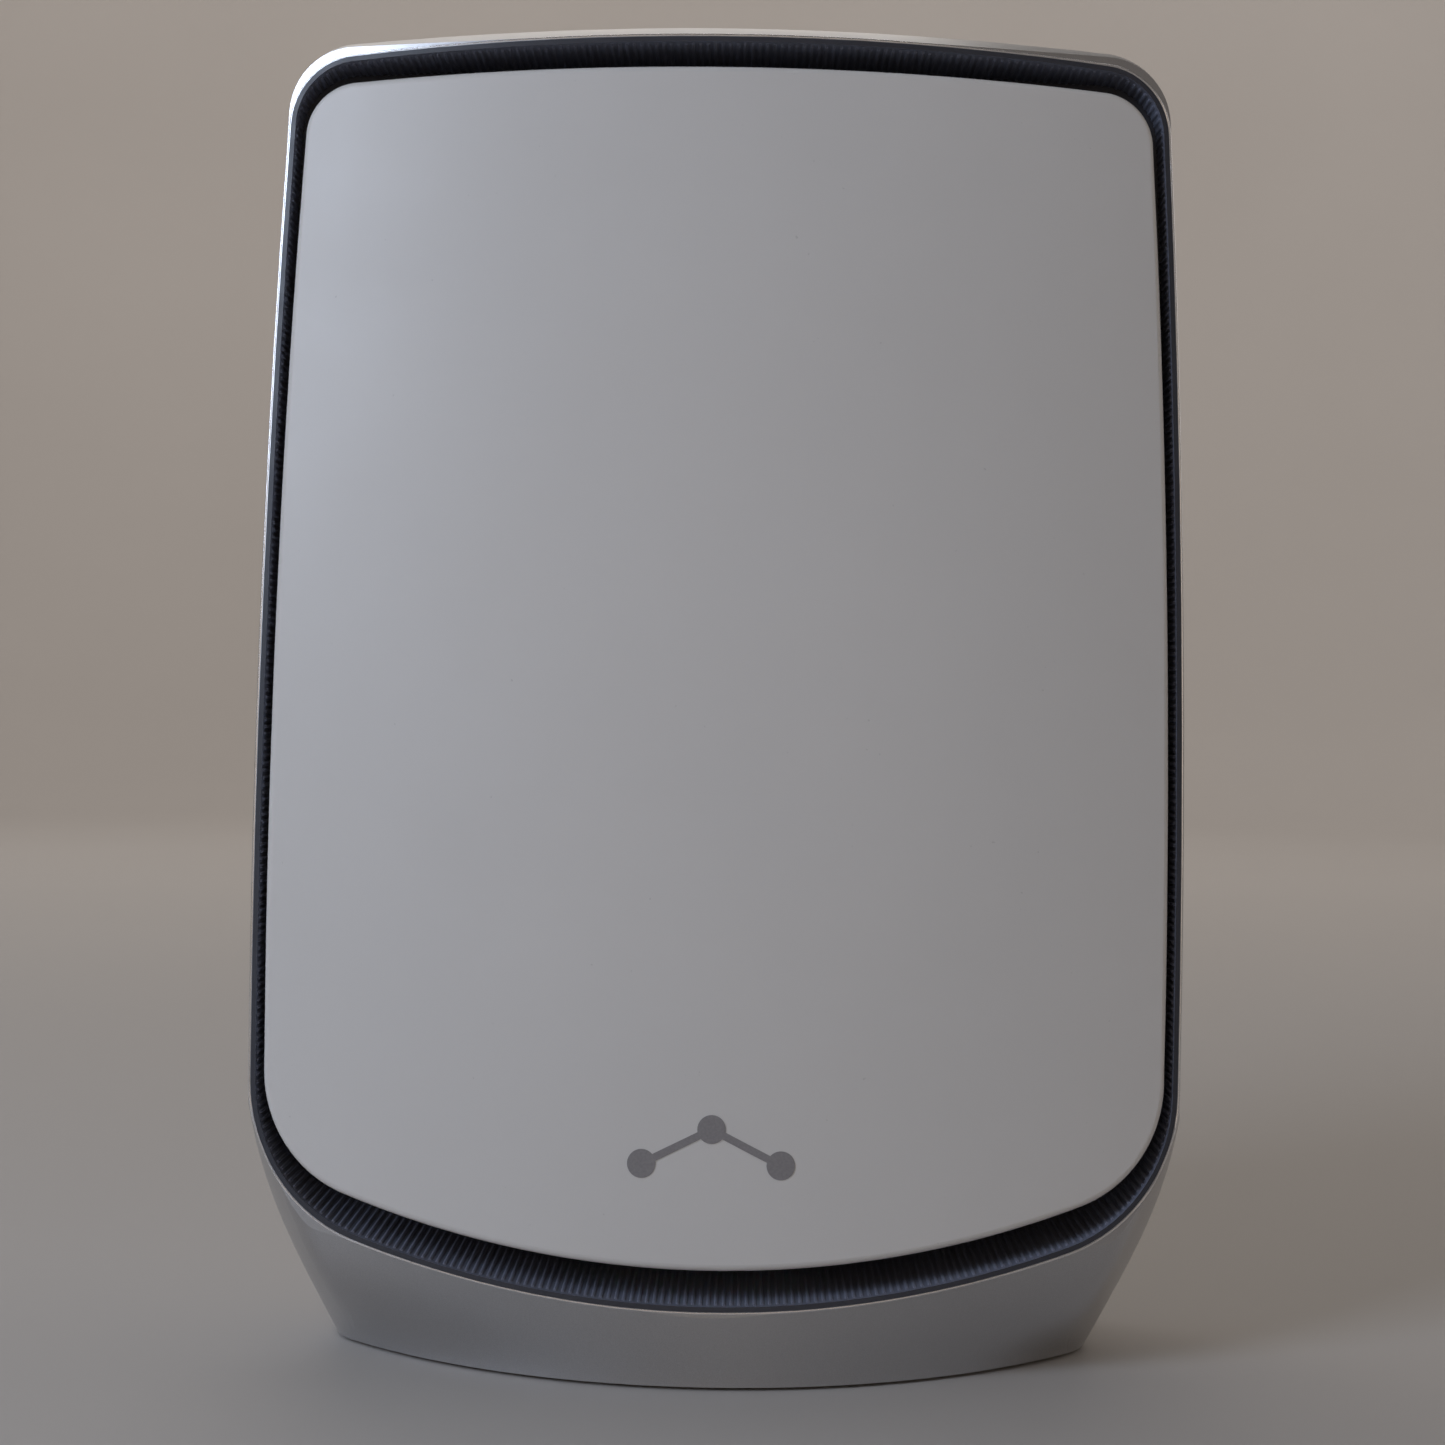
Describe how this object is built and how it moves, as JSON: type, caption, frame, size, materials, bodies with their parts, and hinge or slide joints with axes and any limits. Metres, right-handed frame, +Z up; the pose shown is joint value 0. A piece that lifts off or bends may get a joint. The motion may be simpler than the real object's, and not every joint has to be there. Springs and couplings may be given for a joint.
{
  "type": "mesh wifi node",
  "caption": "Free-standing mesh wifi node: two curved white covers in a silver sleeve with a flared base, dark ribbed vent gaps, and recessed ports and buttons on the back.",
  "frame": {"origin": "on the surface it stands on, under the middle of the foot", "axes": "+Z up, the front faces -Y, +X to the right seen from the front"},
  "size_m": [0.1882, 0.0742, 0.2672],
  "materials": {
    "silver_shell": "satin metallic paint",
    "white_shell": "fine satin",
    "liner_plastic": "satin",
    "grey_print": "printed",
    "dark_plastic": "fine texture",
    "rubber_pad": "matt",
    "screw_steel": "zinc plated",
    "label_film": "satin film",
    "circuit_board": "solder mask",
    "antenna_board": "solder mask",
    "tinned_steel": "tinned",
    "chip_epoxy": "moulded",
    "silicone_pad": "matt",
    "heatsink_alloy": "bead blasted",
    "gold_contact": "plated",
    "port_plastic": "moulded",
    "button_plastic": "satin",
    "clear_plastic": "polished",
    "led_lens": "polished",
    "milky_plastic": "diffusing",
    "cable_jacket": "satin",
    "plug_plastic": "moulded"
  },
  "bodies": {
    "housing": {"antenna_1": "antenna_board", "antenna_2": "antenna_board", "antenna_3": "antenna_board", "antenna_4": "antenna_board", "antenna_5": "antenna_board", "antenna_6": "antenna_board", "antenna_7": "antenna_board", "antenna_8": "antenna_board", "base_plate": "dark_plastic", "base_screws": "screw_steel", "board_chips": "chip_epoxy", "center_frame": "silver_shell", "coax_1": "cable_jacket", "coax_2": "cable_jacket", "coax_3": "cable_jacket", "coax_4": "cable_jacket", "coax_5": "cable_jacket", "coax_6": "cable_jacket", "coax_7": "cable_jacket", "coax_8": "cable_jacket", "dc_jack": "port_plastic", "dc_jack_pin": "tinned_steel", "ethernet_contacts": "gold_contact", "ethernet_jack_1": "port_plastic", "ethernet_jack_2": "port_plastic", "ethernet_jack_3": "port_plastic", "ethernet_jack_4": "port_plastic", "frame_screws": "screw_steel", "front_badge": "grey_print", "front_cover": "white_shell", "front_cover_seat": "dark_plastic", "front_heatsink": "heatsink_alloy", "front_vent_liner": "liner_plastic", "heatsink_screws": "screw_steel", "inner_chassis": "dark_plastic", "io_panel": "dark_plastic", "lan_transformers": "chip_epoxy", "led_board": "circuit_board", "led_cable": "cable_jacket", "led_cable_plug": "plug_plastic", "light_guide": "milky_plastic", "main_pcb": "circuit_board", "pcb_screws": "screw_steel", "power_light_pipe": "clear_plastic", "rating_label": "label_film", "rear_cover": "white_shell", "rear_cover_seat": "dark_plastic", "rear_heatsink": "heatsink_alloy", "rear_vent_liner": "liner_plastic", "reset_switch": "port_plastic", "rf_jacks": "gold_contact", "rubber_feet": "rubber_pad", "shield_cans": "tinned_steel", "status_led": "led_lens", "sync_switch": "port_plastic", "thermal_pads": "silicone_pad"},
    "sync_button": {"sync_button": "button_plastic", "sync_switch_stem": "button_plastic"},
    "reset_button": {"reset_plunger": "button_plastic"}
  },
  "joints": [
    {"name": "sync_press", "type": "slide", "parent": "housing", "child": "sync_button", "axis": [0, -1, 0], "range_m": [0, 0.0006], "stiffness_N_per_m": 800, "springref_m": -0.0005},
    {"name": "reset_press", "type": "slide", "parent": "housing", "child": "reset_button", "axis": [0, -1, 0], "range_m": [0, 0.00025], "stiffness_N_per_m": 800, "springref_m": -0.0005}
  ]
}
